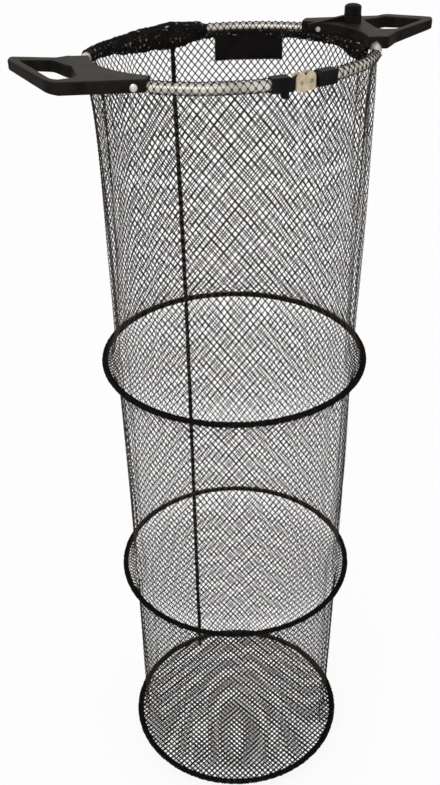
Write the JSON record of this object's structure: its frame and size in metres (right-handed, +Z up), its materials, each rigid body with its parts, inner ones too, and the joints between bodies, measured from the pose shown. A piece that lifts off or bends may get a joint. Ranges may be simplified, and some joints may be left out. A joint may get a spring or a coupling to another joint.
{
  "type": "folding keep net",
  "caption": "Fishing keep net: folding oval tube ring with finger-loop handles, and a long round net of soft mesh on hoops with a netted base.",
  "frame": {"origin": "centre of the mouth ring, on its tube's centre line", "axes": "+Z up out of the mouth, +X along the ring's long axis to the right handle, +Y to the rear hinge's side; the net hangs along -Z"},
  "size_m": [0.5678, 0.4112, 1.3043],
  "materials": {
    "alu": "drawn tube, satin",
    "moulding": "moulded, satin",
    "socket": "moulded, matt",
    "link": "moulded, satin",
    "steel": "bright",
    "brass": "turned",
    "rod": "drawn rod",
    "binding": "whipped cord",
    "net": "soft knitted mesh",
    "label": "woven, blank"
  },
  "bodies": {
    "hinge_links": {"front_outer_link": "link", "front_inner_link": "link", "rear_outer_link": "link", "rear_inner_link": "link", "front_right_hinge_pin": "steel", "front_left_hinge_pin": "steel", "rear_right_hinge_pin": "steel", "rear_left_hinge_pin": "steel", "net_section_1": "net", "seam_cord_1": "binding"},
    "right_half": {"right_tube": "alu", "right_handle": "moulding", "right_arm_rivet": "steel", "right_end_screw": "steel", "rear_right_socket": "socket", "front_right_socket": "socket", "rear_right_sleeve": "net", "front_right_sleeve": "net", "net_mouth_right": "net", "right_hem": "net", "label": "label"},
    "left_half": {"left_tube": "alu", "left_handle": "moulding", "left_arm_rivet": "steel", "left_end_screw": "steel", "front_left_socket": "socket", "rear_left_socket": "socket", "front_left_sleeve": "net", "rear_left_sleeve": "net", "net_mouth_left": "net", "left_hem": "net"},
    "bank_stick_fitting": {"bank_stick_knob": "moulding", "bank_stick_insert": "brass"},
    "upper_hoop": {"upper_hoop_rod": "rod", "upper_hoop_ferrule": "steel", "upper_hoop_binding": "binding", "net_section_2": "net", "seam_cord_2": "binding"},
    "middle_hoop": {"middle_hoop_rod": "rod", "middle_hoop_ferrule": "steel", "middle_hoop_binding": "binding", "net_section_3": "net", "seam_cord_3": "binding"},
    "base_hoop": {"base_hoop_rod": "rod", "base_hoop_ferrule": "steel", "base_hoop_binding": "binding", "base_net": "net"}
  },
  "joints": [
    {"name": "right_fold", "type": "hinge", "parent": "hinge_links", "child": "right_half", "pos_m": [0.00713, 0.00232, 0], "axis": [0.309, -0.9511, 0], "range_deg": [0, 83], "deforming": ["net_mouth_right"]},
    {"name": "left_fold", "type": "hinge", "parent": "hinge_links", "child": "left_half", "pos_m": [-0.00713, -0.00232, 0], "axis": [-0.309, 0.9511, 0], "range_deg": [0, 83], "deforming": ["net_mouth_left"]},
    {"name": "bank_stick_turn", "type": "hinge", "parent": "right_half", "child": "bank_stick_fitting", "pos_m": [0.193, 0.062, 0], "axis": [0, 0, 1], "continuous": true},
    {"name": "upper_collapse", "type": "slide", "parent": "hinge_links", "child": "upper_hoop", "axis": [0, 0, 1], "range_m": [0, 0.29], "deforming": ["net_section_1", "seam_cord_1"]},
    {"name": "middle_collapse", "type": "slide", "parent": "upper_hoop", "child": "middle_hoop", "axis": [0, 0, 1], "range_m": [0, 0.38], "deforming": ["net_section_2", "seam_cord_2"]},
    {"name": "base_collapse", "type": "slide", "parent": "middle_hoop", "child": "base_hoop", "axis": [0, 0, 1], "range_m": [0, 0.37], "deforming": ["net_section_3", "seam_cord_3"]}
  ]
}
